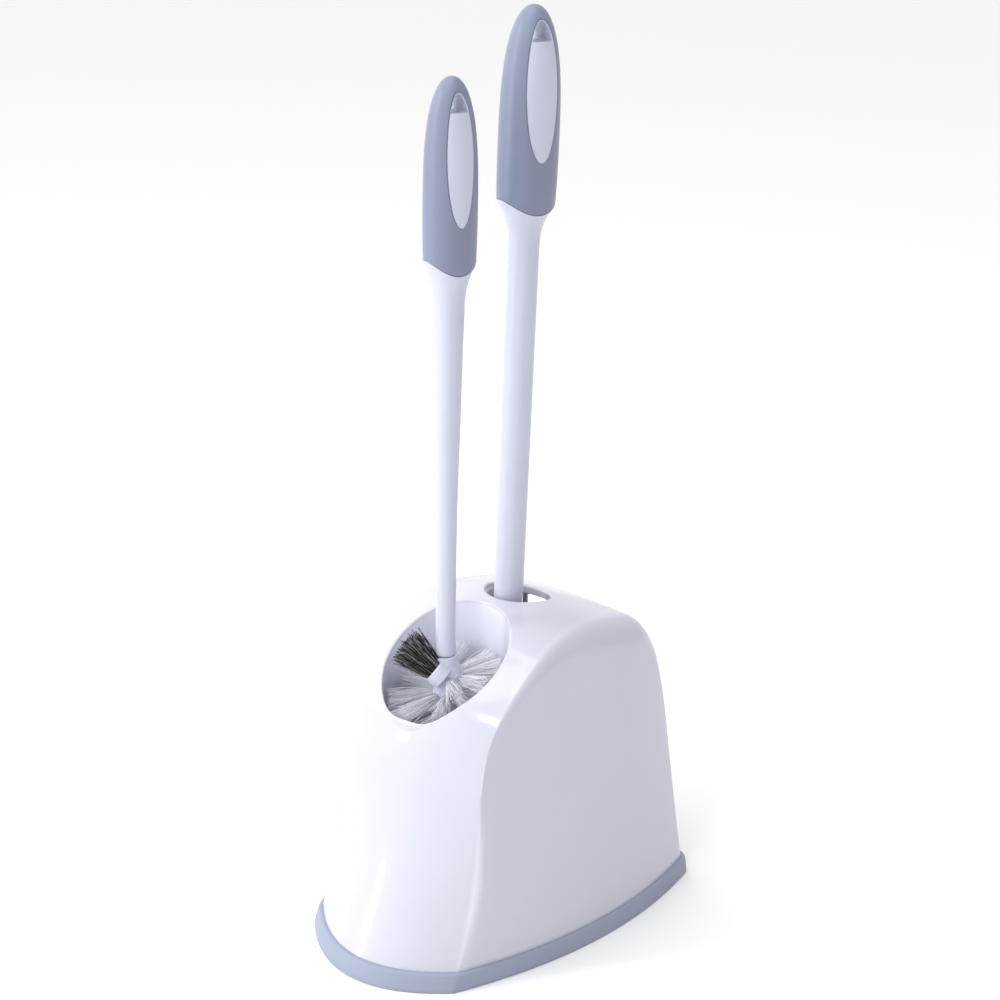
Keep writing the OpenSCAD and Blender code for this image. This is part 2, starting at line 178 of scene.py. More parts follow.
def skin(s, t, n_side=12, n_fil=8, n_hood=32):
    """Rows of the hood's skin at path lengths s, pushed inwards by t."""
    q = at_run(s)
    d0 = q[:, :2] - PIVOT
    length = np.linalg.norm(d0, axis=1)
    direction = d0 / length[:, None]
    tan = at_run(np.minimum(s + 0.5, TOTAL))[:, :2] - at_run(np.maximum(s - 0.5, 0))[:, :2]
    normal = unit(np.c_[-tan[:, 1], tan[:, 0]])
    rho = length - t / np.maximum((normal * direction).sum(1), 0.35)
    w = q[:, 2] - t
    r = np.minimum(q[:, 4] + 0.001, rho / 2)
    half = []
    for k in range(1, n_side + 1):
        p = PIVOT + direction * ((rho - r) * k / n_side)[:, None]
        half.append(np.c_[side_w(p[:, 0], p[:, 1]) - t, p])
    for k in range(1, n_fil + 1):
        a = math.pi / 2 * k / n_fil
        p = PIVOT + direction * (rho - r * (1 - math.sin(a)))[:, None]
        half.append(np.c_[w + (side_w(p[:, 0], p[:, 1]) - t - w) * math.cos(a), p])
    for k in range(1, n_hood):
        u = 1 - k / n_hood
        p = PIVOT + direction * (rho + q[:, 3] * (1 - u * u))[:, None]
        half.append(np.c_[w * u, p])
    mid = PIVOT + direction * (rho + q[:, 3])[:, None]
    left = [h * [-1, 1, 1] for h in half]
    rows = left + [np.c_[np.zeros(len(mid)), mid]] + half[::-1]
    return np.stack(rows, axis=1)


def hollow_hood(n_slice=150):
    """The hood as a closed solid: outer skin, inner skin and the rim at the foot."""
    s = np.linspace(0, TOTAL, n_slice + 1)
    shells = []
    for t in (0, WALL):
        rows = skin(s, t)
        x = side_w(*PIVOT) - t
        shells.append(np.concatenate([[[-x, *PIVOT], [x, *PIVOT]], rows.reshape(-1, 3)]))
    m = rows.shape[1]
    faces = []

    def vid(i, j):
        return 2 + i * m + j

    for i in range(n_slice):
        faces.append((0, vid(i, 0), vid(i + 1, 0)))
        faces += [(vid(i, j), vid(i, j + 1), vid(i + 1, j + 1), vid(i + 1, j))
                  for j in range(m - 1)]
        faces.append((1, vid(i + 1, m - 1), vid(i, m - 1)))
    n = len(shells[0])
    rim = [0] + [vid(0, j) for j in range(m)] + [1]
    rim += [vid(n_slice, j) for j in range(m - 1, -1, -1)]
    band = [(a, n + a, n + b, b) for a, b in zip(rim, rim[1:] + rim[:1])]
    both = faces + [tuple(n + i for i in f[::-1]) for f in faces] + band
    return outward(np.concatenate(shells), both)


# the top band of the hood, between the steep front and the steep back
TABLE_S = np.linspace(RUN[2], RUN[17], 1600)
TABLE_Q = at_run(TABLE_S)
TABLE_D = TABLE_Q[:, :2] - PIVOT
TABLE_L = np.linalg.norm(TABLE_D, axis=1)


def hood_height(x, y):
    """Height of the hood's outer skin above the points (x, y) of its top band."""
    out = np.empty(len(x))
    for k, (px, py) in enumerate(zip(x, y)):
        u = px / TABLE_Q[:, 2]
        p = PIVOT + TABLE_D * (1 + TABLE_Q[:, 3] * (1 - u * u) / TABLE_L)[:, None]
        first = int(np.argmin(p[:, 0]))
        last = int(np.argmax(p[:, 0]))
        out[k] = np.interp(py, p[first:last, 0], p[first:last, 1])
    return out


def back_y(x, z):
    """Where the back wall's outer skin is at (x, z)."""
    s = np.linspace(RUN[13], TOTAL, 900)
    q = at_run(s)
    out = np.empty(len(x))
    for k, (px, pz) in enumerate(zip(x, z)):
        u = px / q[:, 2]
        d = q[:, :2] - PIVOT
        p = PIVOT + d * (1 + q[:, 3] * (1 - u * u) / np.linalg.norm(d, axis=1))[:, None]
        out[k] = np.interp(-pz, -p[:, 1], p[:, 0])
    return out


def rounded_edge(height, p, e, radius, steps=7):
    """Fillet between a surface h = height(p) and a wall along the outline p with normals e.

    The fillet gets finer where the surface drops steeply away from the hole.
    Returns the arc's rows, from the surface to the wall, and the surface normals there.
    """
    wide = np.c_[e, np.zeros(len(e))]
    n = np.tile([0.0, 0.0, 1.0], (len(p), 1))
    rho = np.full((len(p), 1), float(radius))
    step = 0.3
    for _ in range(7):
        q = p + rho * (e + n[:, :2])
        dx = (height(q[:, 0] + step, q[:, 1]) - height(q[:, 0] - step, q[:, 1])) / (2 * step)
        dy = (height(q[:, 0], q[:, 1] + step) - height(q[:, 0], q[:, 1] - step)) / (2 * step)
        n = unit(np.c_[-dx, -dy, np.ones(len(p))])
        steep = n[:, 2:] / (1 + (n * wide).sum(1, keepdims=True))
        rho = radius * np.clip(1.4 * steep, 0.4, 1)
    c = p + rho * e
    q = c + rho * n[:, :2]
    centre = np.c_[c, height(q[:, 0], q[:, 1]) - rho[:, 0] * n[:, 2]]
    angle = np.arccos(np.clip((n * -wide).sum(1), -1, 1))[:, None]
    rows = []
    for k in range(steps + 1):
        v = k / steps
        way = (np.sin((1 - v) * angle) * n + np.sin(v * angle) * -wide) / np.sin(angle)
        rows.append(centre + rho * way)
    return rows, n


def circle(cx, cy, r, m):
    a = np.arange(m) * 2 * math.pi / m
    e = np.c_[np.cos(a), np.sin(a)]
    return np.array([cx, cy]) + r * e, e


def prism(name, outline, low, high, axis="z"):
    """A straight prism through an outline, along x, y or z."""
    rings = [np.c_[outline, np.full(len(outline), h)] for h in (low, high)]
    if axis == "x":
        rings = [r[:, [2, 0, 1]] for r in rings]
    if axis == "y":
        rings = [r[:, [0, 2, 1]] for r in rings]
    return make(name, *outward(*loft(rings)))


WELL_Y, WELL_R, CUP_FLOOR = -36.5, 39.1, 88
# where the well's rim leaves the circle: (angle, spread, millimetres)
WELL_SHAPE = [(304, 24, 0.9), (272, 20, -1.3), (240, 20, 0.7)]
RING_Y, RING_R = 32.8, 21
WELL_ROUND, RING_ROUND, COLLAR_DROP = 1.7, 1.5, 3.6
CUT_TOP = 240
# open back: half widths at the top, at the bend and at the sill, and their heights
ARCH_H, ARCH_BEND, ARCH_MID_Z, ARCH_SILL = 187, 14, 147, 26
ARCH_TOP_W, ARCH_MID_W, ARCH_SILL_W = 48, 52, 62
CUP_BEND, CUP_WALL, CUP_BASE = 9.0, 2.1, 2


def well_rim(m):
    """The plan outline of the brush opening and its outward normals."""
    p, e = circle(0, WELL_Y, WELL_R, m)
    deg = np.arange(m) * 360 / m
    grow = sum(g * np.exp(-((deg - mid) / spread) ** 2) for mid, spread, g in WELL_SHAPE)
    p = p + grow[:, None] * e
    d = np.roll(p, -1, axis=0) - np.roll(p, 1, axis=0)
    return p, unit(np.c_[d[:, 1], -d[:, 0]])


def build_shell():
    hood = make("hood", *hollow_hood())
    # brush opening: only cut here, because the cup's own lip closes it
    p, e = well_rim(144)
    rows, _ = rounded_edge(hood_height, p, e, WELL_ROUND)
    boolean(hood, prism("well_cut", rows[0][:, :2], 110, CUT_TOP))
    # plunger ring with a short collar below it
    p, e = circle(0, RING_Y, RING_R, 120)
    rows, n = rounded_edge(hood_height, p, e, RING_ROUND)
    boolean(hood, prism("ring_cut", rows[0][:, :2], 150, CUT_TOP))
    wide = np.c_[e, np.zeros(len(e))]
    low = rows[-1] - [0, 0, COLLAR_DROP]
    foot = [low, low + 0.6 * wide - [0, 0, 0.5], low + 1.4 * wide, low + 1.9 * wide + [0, 0, 0.5]]
    collar = make("collar", *outward(*loft(rows + foot + [rows[0] - 1.6 * n], closed=True)))
    # open back with a rounded edge
    a = np.radians(np.linspace(0, 180, 25))
    top = np.c_[ARCH_TOP_W * np.cos(a), ARCH_H - ARCH_BEND + ARCH_BEND * np.sin(a)]
    right = [[0, ARCH_SILL], [ARCH_SILL_W, ARCH_SILL], [ARCH_MID_W, ARCH_MID_Z]]
    left = [[-ARCH_MID_W, ARCH_MID_Z], [-ARCH_SILL_W, ARCH_SILL]]
    outline = np.concatenate([right, top, left])
    outline = softened(outline, 1.6, 4.0)
    boolean(hood, prism("back_cut", outline, 90, 160, "y"))
    y = back_y(outline[:, 0], outline[:, 1])
    path = np.c_[outline[:, 0], y - WALL / 2 - 0.05, outline[:, 1]]
    edge = make("back_edge", *outward(*swept(path, WALL / 2 + 0.1, 14)))
    return merged("caddy_hood", [hood, collar, edge])


def softened(outline, step, reach):
    """A closed outline resampled evenly and with its corners rounded over reach."""
    closed = np.r_[outline, outline[:1]]
    run = np.r_[0, np.cumsum(np.linalg.norm(np.diff(closed, axis=0), axis=1))]
    n = int(run[-1] / step)
    s = np.linspace(0, run[-1], n, endpoint=False)
    out = np.c_[np.interp(s, run, closed[:, 0]), np.interp(s, run, closed[:, 1])]
    k = max(int(reach / step), 1)
    for _ in range(2):
        out = sum(np.roll(out, i, axis=0) for i in range(-k, k + 1)) / (2 * k + 1)
    return out


def swept(path, r, m):
    """A closed tube of radius r along a closed path."""
    tan = unit(np.roll(path, -1, axis=0) - np.roll(path, 1, axis=0))
    side = unit(np.cross(tan, [0, 1, 0]))
    up = np.cross(side, tan)
    a = np.arange(m) * 2 * math.pi / m
    rings = [path[i] + r * (np.cos(a)[:, None] * side[i] + np.sin(a)[:, None] * up[i])
             for i in range(len(path))]
    return loft(rings, closed=True)


def build_well():
    """The brush cup: lip, inner wall, rounded bottom, outer wall up to the hood."""
    m, lip_rows, wall_rows = 144, 9, 14
    p, e = well_rim(m)
    rows, n = rounded_edge(hood_height, p, e, WELL_ROUND, lip_rows)
    rings = list(rows)
    start = rows[-1]
    bend, low = CUP_BEND, CUP_FLOOR
    foot = ring_at(m, WELL_R, low + bend)
    for k in range(1, wall_rows + 1):
        v = k / wall_rows
        ring = start + (foot - start) * v
        ring[:, :2] = start[:, :2] + (foot - start)[:, :2] * min(v * 4, 1)
        rings.append(ring)
    for k in range(1, 9):
        a = math.pi / 2 * k / 8
        rings.append(ring_at(m, WELL_R - bend * (1 - math.cos(a)), low + bend * (1 - math.sin(a))))
    rings += [ring_at(m, r, low) for r in (20, 8, 0.05)]
    outer = WELL_R + CUP_WALL
    under = [ring_at(m, r, low - CUP_BASE) for r in (0.05, 8, 20)]
    bend += CUP_BASE
    for k in range(9):
        a = math.pi / 2 * (1 - k / 8)
        z = low - CUP_BASE + bend * (1 - math.sin(a))
        under.append(ring_at(m, outer - bend * (1 - math.cos(a)), z))
    foot = under[-1]
    top = rows[0] - 1.3 * n
    for k in range(1, 8):
        ring = foot.copy()
        ring[:, 2] = foot[:, 2] + (top[:, 2] - 1 - foot[:, 2]) * k / 7
        under.append(ring)
    obj = make("brush_cup", *outward(*loft(rings + under + [top], closed=True)), 50)
    # everything below the lip down to the middle of the floor gets painted light: a lighter copy of
    # the shell's white that stands in for light bounced into the well
    painted_light_faces = np.zeros(len(obj.data.polygons), int)
    painted_light_faces[lip_rows * m:(lip_rows + wall_rows + 11) * m] = 1
    obj.data.polygons.foreach_set("material_index", painted_light_faces)
    return obj


def ring_at(m, r, z):
    p, _ = circle(0, WELL_Y, r, m)
    return np.c_[p, np.full(m, z)]


def hood_outline(z):
    """Loop of the hood's outer skin at height z."""
    s_front = np.linspace(0, RUN[4], 200)
    s_back = np.linspace(RUN[17], TOTAL, 200)
    front, back = skin(s_front, 0), skin(s_back, 0)
    loop = [[-side_w(PIVOT[0], z), PIVOT[0]]]
    for j in range(front.shape[1]):
        loop.append([np.interp(z, front[:, j, 2], front[:, j, k]) for k in (0, 1)])
    loop.append([side_w(PIVOT[0], z), PIVOT[0]])
    for j in range(back.shape[1] - 1, -1, -1):
        loop.append([np.interp(-z, -back[:, j, 2], back[:, j, k]) for k in (0, 1)])
    return np.array(loop)


TRIM_SEAT, TRIM_H = 1.5, 12.0


def build_trim():
    foot, top = hood_outline(TRIM_SEAT), hood_outline(TRIM_H)
    s = np.linspace(0, 1, 421)[:-1]

    def even(loop):
        closed = np.r_[loop, loop[:1]]
        run = np.r_[0, np.cumsum(np.linalg.norm(np.diff(closed, axis=0), axis=1))]
        return np.stack([np.interp(s * run[-1], run, closed[:, k]) for k in (0, 1)], axis=1)

    foot, top = even(foot), even(top)
    d = np.roll(foot, -1, axis=0) - np.roll(foot, 1, axis=0)
    normal = unit(np.c_[-d[:, 1], d[:, 0]])
    if ((foot - foot.mean(0)) * normal).sum() < 0:
        normal = -normal
    # distance out from the hood, height
    profile = [(-5, 0), (1.7, 0), (2.2, 0.15), (2.6, 0.5), (2.75, 1.0), (2.95, 4.0), (3.0, 8.0),
               (2.95, 10.3), (2.75, 11.1), (2.3, 11.7), (1.7, 11.95), (0.9, 12.0), (0.1, 11.9),
               (0.05, 8), (0.05, 1.45), (-4.6, 1.5), (-5, 1.1)]
    rings = []
    for g, z in profile:
        k = np.clip((z - TRIM_SEAT) / (TRIM_H - TRIM_SEAT), 0, 1)
        q = foot + (top - foot) * k + g * normal
        rings.append(np.c_[q, np.full(len(q), z)])
    return make("foot_trim", *outward(*loft(rings, closed=True)), 50)


# ------------------------------------------------------------------ handles and grips
AROUND = np.arange(96) * 2 * math.pi / 96
SLEEVE = 1.8
# half length of the prisms that cut through both faces of a grip
THROUGH = 30
# hang hole: distance inside the window's oval, corner softening, lip depth and lip radius
HOLE_INSET, HOLE_STEP, HOLE_SOFT = 0.6, 0.25, 0.45
HOLE_SKIN, HOLE_LIP = 0.35, 0.3


class Grip:
    """A flat, wavy-edged soft grip on a white core, in its own upright frame."""

    def __init__(self, flare, edge, mid, top, thick, wide, shaft, oval, hang):
        self.flare, self.edge, self.mid, self.top = flare, edge, mid, top
        self.thick, self.wide, self.shaft, self.oval, self.hang = thick, wide, shaft, oval, hang

    def swell(self, z, t):
        """Share of the full width at height z: a little less below mid, closing to 0 at the top."""
        rise = np.clip((z - self.mid) / (self.top - t - self.mid), 0, 1)
        above = np.clip(1 - rise**3.2, 0, 1) ** (1 / 2.2)
        below = 1 - 0.035 * ((self.mid - z) / (self.mid - self.edge)) ** 2
        return np.where(z > self.mid, above, below)

    def ring(self, z, t):
        k = self.swell(z, t)
        x = (self.thick - t) * k * np.cos(AROUND)
        y = (self.wide - t) * k * np.sin(AROUND)
        return np.c_[x, y, z]

    def edge_z(self):
        return self.edge - 4 * np.cos(2 * AROUND)

    def height(self, t):
        """Distance of the broad face from the middle plane, as a function of (across, z)."""
        def x_of(across, z):
            k = np.maximum(self.swell(z, t), 0.05)
            inside = 1 - (across / ((self.wide - t) * k)) ** 2
            return (self.thick - t) * k * np.sqrt(np.clip(inside, 0.001, 1))
        return x_of

    def rows_up(self, start, t, n=64):
        for i in range(n + 1):
            v = 1 - (1 - i / n) ** 1.9
            yield self.ring(start + (self.top - t - 0.02 - start) * v, t)

    def oval_line(self, s=0.0, n=160):
        a = np.arange(n) * 2 * math.pi / n
        w, h, z = self.oval
        return np.c_[(w + s) * np.cos(a), z + (h + s) * np.sin(a)]


def normals_2d(outline):
    d = np.roll(outline, -1, axis=0) - np.roll(outline, 1, axis=0)
    return unit(np.c_[d[:, 1], -d[:, 0]])


def face_lips(grip, outline, t, rho, depth):
    """The rounded lips of a hole through both broad faces, and the outline to cut for them."""
    e = normals_2d(outline)
    rows, n = rounded_edge(grip.height(t), outline, e, rho, 5)
    wide = np.c_[e, np.zeros(len(e))]
    low = rows[-1].copy()
    low[:, 2] = 0 if depth is None else low[:, 2] - depth
    ring = rows + [low, low + 1.1 * wide, rows[0] - 0.9 * n]
    lips = []
    for side in (1, -1):
        turned_rows = [r[:, [2, 0, 1]] * [side, 1, 1] for r in ring]
        lips.append(outward(*loft(turned_rows, closed=True)))
    return lips, rows[0][:, :2]


def build_grip(name, grip, place):
    edge = grip.edge_z()
    rings = []
    for k in range(7):
        b = math.pi / 2 * k / 6
        rings.append(grip.ring(edge + 0.25 + 0.7 * (1 - math.cos(b)), 0.7 * (1 - math.sin(b))))
    rings += list(grip.rows_up(edge + 0.95, 0))[1:]
    rings += list(grip.rows_up(edge + 0.3, SLEEVE))[::-1]
    sleeve = make(name, *outward(*loft(rings, closed=True)))
    lips, cut = face_lips(grip, grip.oval_line(), 0, 0.7, 0.9)
    boolean(sleeve, prism("window_cut", cut, -THROUGH, THROUGH, "x"))
    return placed(merged(name, [sleeve] + [make("lip", *q) for q in lips]), place)


def build_core(name, grip, below, place):
    """Shaft, flare and core in one loft, the white plates in the windows, and the hang hole."""
    edge = grip.edge_z()
    full = grip.ring(edge, 0)
    rings = turned(below)
    for i in range(1, 25):
        v = i / 24
        k = v**2.6
        z = grip.flare + (edge - 0.3 - grip.flare) * v
        x = grip.shaft * np.cos(AROUND) * (1 - k) + full[:, 0] * k
        y = grip.shaft * np.sin(AROUND) * (1 - k) + full[:, 1] * k
        rings.append(np.c_[x, y, z])
    rings.append(grip.ring(edge - 0.1, 0.15))
    rings.append(grip.ring(edge, 0.55))
    rings += list(grip.rows_up(edge + 0.1, SLEEVE - 0.05))
    core = make(name, *outward(*loft(rings)))
    plate = make("plate", *outward(*loft(list(grip.rows_up(edge, HOLE_SKIN)))))
    boolean(plate, prism("plate_cut", grip.oval_line(-0.12), -THROUGH, THROUGH, "x"), "INTERSECT")
    w, h, z0 = grip.oval
    start = math.asin((grip.hang - z0) / (h - HOLE_INSET))
    a = np.linspace(start, math.pi - start, 60)
    hole = np.c_[(w - HOLE_INSET) * np.cos(a), z0 + (h - HOLE_INSET) * np.sin(a)]
    hole = softened(hole, HOLE_STEP, HOLE_SOFT)
    lips, cut = face_lips(grip, hole, HOLE_SKIN, HOLE_LIP, None)
    for solid in (plate, core):
        boolean(solid, prism("hole_cut", cut, -THROUGH, THROUGH, "x"))
    return placed(merged(name, [core, plate] + [make("lip", *q) for q in lips]), place)


def placed(obj, matrix):
    obj.data.transform(matrix)
    obj.data.update()
    return obj


def shift(x, y, z):
    return Matrix.Translation(Vector((x, y, z)) * MM)


def turn(deg, axis):
    return Matrix.Rotation(math.radians(deg), 4, axis)


GRIP_YAW = turn(-20, "Z")
PLUNGER_Y, PLUNGER_LEAN = 16.7, 1.81
BRUSH_Y = WELL_Y - 1
PLUNGER_PLACE = shift(0, PLUNGER_Y, 0) @ turn(-PLUNGER_LEAN, "X") @ GRIP_YAW
BRUSH_PLACE = shift(0, BRUSH_Y, 0) @ GRIP_YAW
# heights of flare, edge, widest place and top, half thickness, half width, shaft radius,
# the window's oval (half width, half height, centre) and the height where the hang hole starts
PLUNGER = Grip(436, 463, 492, 580, 16.6, 18.8, 9.4, (10.4, 41, 531), 559.5)
BRUSH = Grip(408, 438, 466, 546, 14.4, 16.3, 9.0, (8.5, 38, 500), 526.5)
NECK_Z = 192
# radius, height
PLUNGER_SHAFT = [(9.0, 58), (9.4, 58.5)] + [(9.4, z) for z in np.linspace(70, 436, 24)]
BRUSH_SHAFT = [(0.1, 181), (3.9, 181), (3.9, 191.8), (5.9, 191.9), (6.45, 192.2), (6.7, 193),
               (6.7, 196.6), (6.55, 198.2), (6.3, 200.5), (6.2, 204), (6.2, 235), (6.2, 262),
               (6.35, 282), (6.6, 300), (6.95, 318), (7.4, 335), (7.75, 350), (8.0, 363),
               (8.25, 376), (8.5, 390), (8.85, 402), (9.0, 408)]


# ------------------------------------------------------------------ brush head
HEAD_TURN, HEAD_TILT = 39, 6
HEAD = shift(0, BRUSH_Y, NECK_Z) @ turn(HEAD_TURN, "Z") @ turn(-HEAD_TILT, "Y")
TUFT_REACH, TIP_R, HUB_R = 35.5, 3.6, 9.5
# depth below the neck, count, lift in degrees, turn in degrees
ROWS = [(16, 9, 4, 0), (26, 9, -3, 20), (36, 9, -4, 0), (46, 9, -8, 20), (56, 9, -14, 0),
        (63, 7, -34, 10)]
# the dark tuft's side socket, and the gap in the row beside it
RIM_TURN, RIM_LIFT, RIM_DEPTH, RIM_OFF = 165, 42, 14, 7
RIM_GAP, GAP_HALF, GAP_DEPTH = 210, 62, 20
RIM_WAY = turn(RIM_TURN, "Z") @ turn(90 - RIM_LIFT, "Y")
RIM = HEAD @ shift(0, 0, -RIM_DEPTH) @ RIM_WAY @ shift(0, RIM_OFF, 0)
# strands: radii, how far from the cup's axis they may reach, and where they leave the hub
WHITE_R, DARK_R = 0.17, 0.27
WHITE_LIMIT, DARK_LIMIT = 38.3, 38.0
WHITE_ROOT, DARK_ROOT, DARK_LENGTH = 8.2, 4.5, 34.5


def points_in(matrix, pts):
    """Points in millimetres moved by a matrix in metres."""
    m = np.array(matrix)
    return np.asarray(pts) @ m[:3, :3].T + m[:3, 3] / MM


def tuft_frames():
    """Frame of each white tuft, its length and the index of its row."""
    for index, (depth, count, lift, start) in enumerate(ROWS):
        for i in range(count):
            a = 360 / count * i + start
            if depth < GAP_DEPTH and abs(a - RIM_GAP) < GAP_HALF:
                continue
            tip = depth - TUFT_REACH * math.tan(math.radians(lift))
            reach = TUFT_REACH - TIP_R * abs(math.sin(math.radians(lift)))
            reach -= tip * math.sin(math.radians(HEAD_TILT)) * math.cos(math.radians(a))
            place = HEAD @ turn(a, "Z") @ shift(0, 0, -depth) @ turn(90 - lift, "Y")
            yield place, reach / math.cos(math.radians(lift)), index


def build_hub():
    """The head's body with its rounded end, the side socket and a collar round every tuft."""
    quarter = np.linspace(0, math.pi / 2, 9)
    round_end = [(HUB_R * math.cos(a), -61 - 9 * math.sin(a)) for a in quarter]
    neck = [(0.05, -0.9), (6.9, -0.9), (7.5, -1.2), (7.7, -2), (7.7, -5.6), (7.9, -7), (8.6, -9),
            (9.2, -11.5), (HUB_R, -14)]
    straight = [(HUB_R, z) for z in np.linspace(-18, -60, 12)]
    v, f = loft(turned((neck + straight + round_end)[::-1]))
    parts = [(points_in(HEAD, v), f)]
    boss = [(0.05, 0), (7.6, 0), (7.8, 3), (7.8, 6.8), (7.65, 7.6), (7.2, 8), (6.7, 8), (6.3, 7.7),
            (6.15, 7.1), (6.15, 5), (0.05, 5)]
    v, f = loft(turned(boss))
    parts.append((points_in(RIM, v), f))
    socket = [(2.35, 8.6), (3.25, 8.6), (3.2, 9.55), (2.95, 9.85), (2.6, 9.85), (2.35, 9.6)]
    for place, _, _ in tuft_frames():
        v, f = loft(turned(socket, 20), closed=True)
        parts.append((points_in(place, v), f))
    return make("brush_head_core", *joined([outward(*q) for q in parts]))


def strand(points, r, sides=4):
    """A thin tube through points, tapering a little at its tip."""
    points = np.asarray(points)
    tan = unit(np.gradient(points, axis=0))
    side = unit(np.cross(tan, tan[0][[1, 2, 0]] * [1, -1, 1] + [0.1, 0.2, 0.3]))
    up = np.cross(tan, side)
    a = np.arange(sides) * 2 * math.pi / sides
    taper = np.linspace(1, 0.75, len(points))
    return [points[i] + r * taper[i] * (np.cos(a)[:, None] * side[i] + np.sin(a)[:, None] * up[i])
            for i in range(len(points))]


def bristle_mesh(name, strands, tones, r):
    """One mesh of many strands. Every point carries its strand's tone."""
    verts, faces, tone, base = [], [], [], 0
    for pts, t in zip(strands, tones):
        v, f = loft(strand(pts, r))
        verts.append(v)
        faces += [tuple(base + i for i in q) for q in f]
        tone += [t] * len(v)
        base += len(v)
    obj = make(name, np.concatenate(verts), faces, 60)
    layer = obj.data.attributes.new("tone", "FLOAT", "POINT")
    layer.data.foreach_set("value", np.asarray(tone, np.float32))
    return obj


def kept_inside(pts, limit):
    """Draws points in towards the cup's axis where they would pass the limit radius."""
    axis = np.array([0, WELL_Y])
    flat = pts[:, :2] - axis
    r = np.linalg.norm(flat, axis=1)
    k = np.where(r > limit, limit / np.maximum(r, 1e-6), 1)
    pts = pts.copy()
    pts[:, :2] = axis + flat * k[:, None]
    return pts


def build_tufts(name, rows, per_tuft=76):
    strands, tones = [], []
    for place, length, index in tuft_frames():
        if index not in rows:
            continue
        lean = rng.normal(0, 0.035, 2)
        mean_tone = rng.uniform(0.35, 0.65)
        for _ in range(per_tuft):
            a, q = rng.uniform(0, 2 * math.pi), math.sqrt(rng.uniform(0, 1))
            d = np.array([math.cos(a), math.sin(a)])
            root = d * 1.95 * q
            tip = d * 6.6 * q + rng.normal(0, 1.2, 2) + lean * length
            bend = rng.normal(0, 0.9, 2)
            end = length + rng.uniform(-1.6, 1.3)
            v = np.linspace(0, 1, 7)[:, None]
            flat = root + (tip - root) * v**1.25 + bend * np.sin(math.pi * v)
            pts = np.c_[flat, WHITE_ROOT + (end - WHITE_ROOT) * v[:, 0]]
            strands.append(kept_inside(points_in(place, pts), WHITE_LIMIT))
            tones.append(np.clip(mean_tone + rng.normal(0, 0.22), 0, 1))
    return bristle_mesh(name, strands, tones, WHITE_R)


def build_rim_tuft(count=430):
    strands, tones = [], []
    for _ in range(count):
        a, q = rng.uniform(0, 2 * math.pi), math.sqrt(rng.uniform(0, 1))
        d = np.array([math.cos(a), math.sin(a)])
        root = d * 5.8 * q
        wild = rng.uniform() ** 3
        tip = d * (10.2 * q + 2.8 * wild) + rng.normal(0, 0.8 + 1.8 * wild, 2) + [-1.5, 0.5]
        bend = rng.normal(0, 0.6 + 1.3 * wild, 2)
        length = DARK_LENGTH + rng.uniform(-4.5, 1.2) - 3 * q
        v = np.linspace(0, 1, 11)[:, None]
        phase = rng.uniform(0, 2 * math.pi)
        curl = 0.35 * np.sin(v * rng.uniform(4, 9) + phase) * [1, 0.7] * v
        flat = root + (tip - root) * v**1.2 + bend * np.sin(math.pi * v) + curl
        pts = np.c_[flat, DARK_ROOT + (length - DARK_ROOT) * v[:, 0]]
        strands.append(kept_inside(points_in(RIM, pts), DARK_LIMIT))
        tones.append(1 - rng.uniform(0, 1) ** 3)
    return bristle_mesh("dark_tuft", strands, tones, DARK_R)


# ------------------------------------------------------------------ plunger's rubber cup
BELL_FOOT, BELL_IN_R, BELL_IN_H, BELL_OUT_R, BELL_OUT_H = 8, 55, 47, 59, 52


def build_cup():
    """A turned rubber bell with a rolled lip below and a collar for the handle on top."""
    a = np.linspace(math.pi / 2, 0, 26)
    inner = [(BELL_IN_R * math.cos(t), BELL_FOOT + BELL_IN_H * math.sin(t)) for t in a]
    lip = [(BELL_IN_R, 2.2), (55.3, 0.9), (56.2, 0.2), (57.5, 0), (59.6, 0), (60.5, 0.3),
           (60.95, 1.2), (61, 2.6), (60.8, 4.2), (60.1, 5.4), (59.3, 6.4)]
    outer = [(BELL_OUT_R * math.cos(t), BELL_FOOT + BELL_OUT_H * math.sin(t)) for t in a[::-1][1:-7]]
    neck = [(18.6, 58.4), (18.2, 59.5), (17.6, 61), (15.4, 73.5), (14.9, 75.2), (15.1, 76),
            (15.5, 76.6), (15.6, 78.9), (15.3, 79.6), (14.6, 80), (10.3, 80), (9.5, 79.4),
            (9.45, 78), (9.45, 57.6), (0.05, 57.6)]
    v, f = loft(turned(inner + lip + outer + neck, 128))
    obj = make("plunger_rubber_cup", *outward(v, f))
    return placed(obj, shift(0, PLUNGER_Y, 0))


